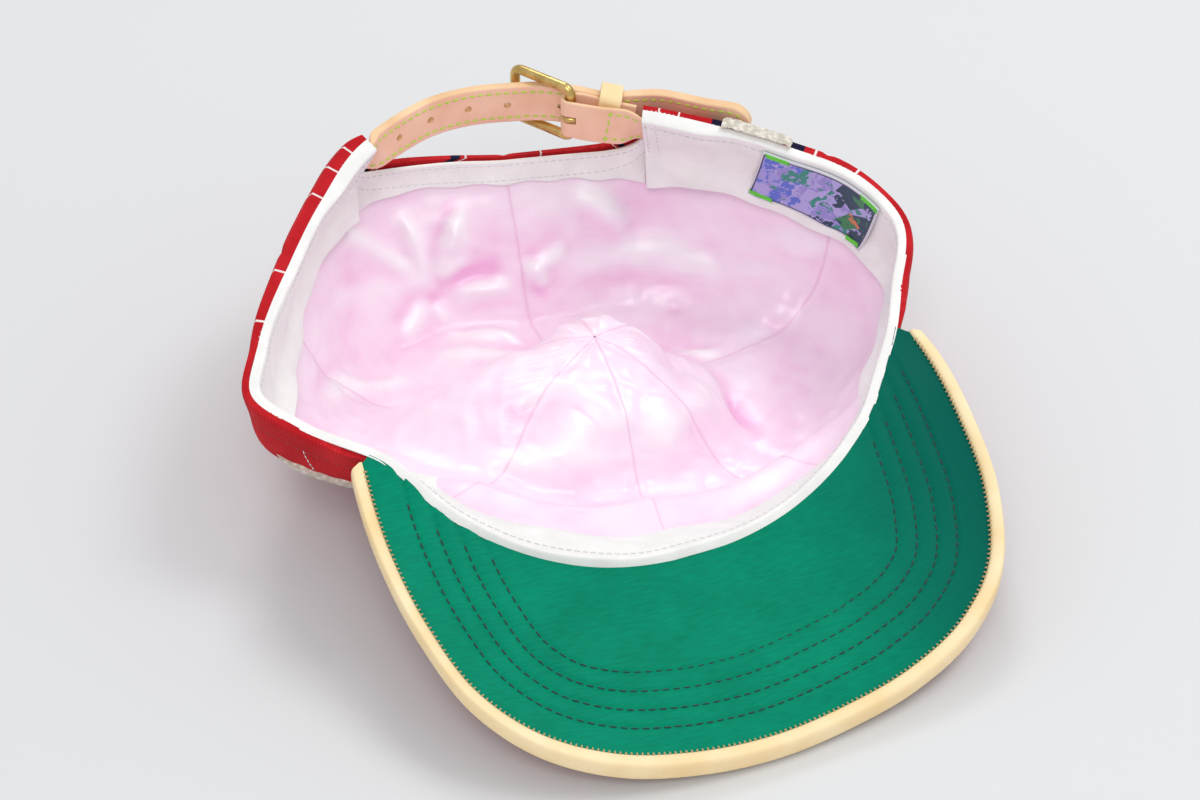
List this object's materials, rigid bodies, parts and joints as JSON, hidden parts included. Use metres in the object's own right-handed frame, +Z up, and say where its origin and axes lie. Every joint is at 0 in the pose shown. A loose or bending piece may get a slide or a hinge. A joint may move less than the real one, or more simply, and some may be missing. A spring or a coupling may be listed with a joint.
{
  "type": "six-panel cloth cap",
  "caption": "Six-panel cloth cap with satin lining, sweatband, curved brim and a buckled leather back strap, lying upside down on its crown.",
  "frame": {"origin": "middle of the cap's box, on the surface that it lies on", "axes": "+Z up from that surface, -Y towards the tip of the brim, +X to the right as seen with the brim nearest"},
  "size_m": [0.2106, 0.2336, 0.0814],
  "materials": {
    "tan_leather": "smooth leather",
    "pale_leather": "smooth leather",
    "brass": "polished",
    "woven_label": "woven",
    "red_jersey": "matte knit",
    "pink_satin": "glossy satin",
    "white_cotton": "matte woven",
    "green_satin": "satin sheen"
  },
  "bodies": {
    "root": {"arch_facing": "white_cotton", "brim_binding": "pale_leather", "brim_board": "red_jersey", "brim_satin": "green_satin", "buckle_frame": "brass", "buckle_prong": "brass", "crown_panel_back_left": "red_jersey", "crown_panel_back_right": "red_jersey", "crown_panel_front_left": "red_jersey", "crown_panel_front_right": "red_jersey", "crown_panel_side_left": "red_jersey", "crown_panel_side_right": "red_jersey", "keeper": "pale_leather", "label": "woven_label", "lining_back_left": "pink_satin", "lining_back_right": "pink_satin", "lining_front_left": "pink_satin", "lining_front_right": "pink_satin", "lining_side_left": "pink_satin", "lining_side_right": "pink_satin", "strap_buckle_side": "tan_leather", "strap_tongue": "tan_leather", "sweatband": "white_cotton", "top_button": "red_jersey"}
  },
  "joints": []
}
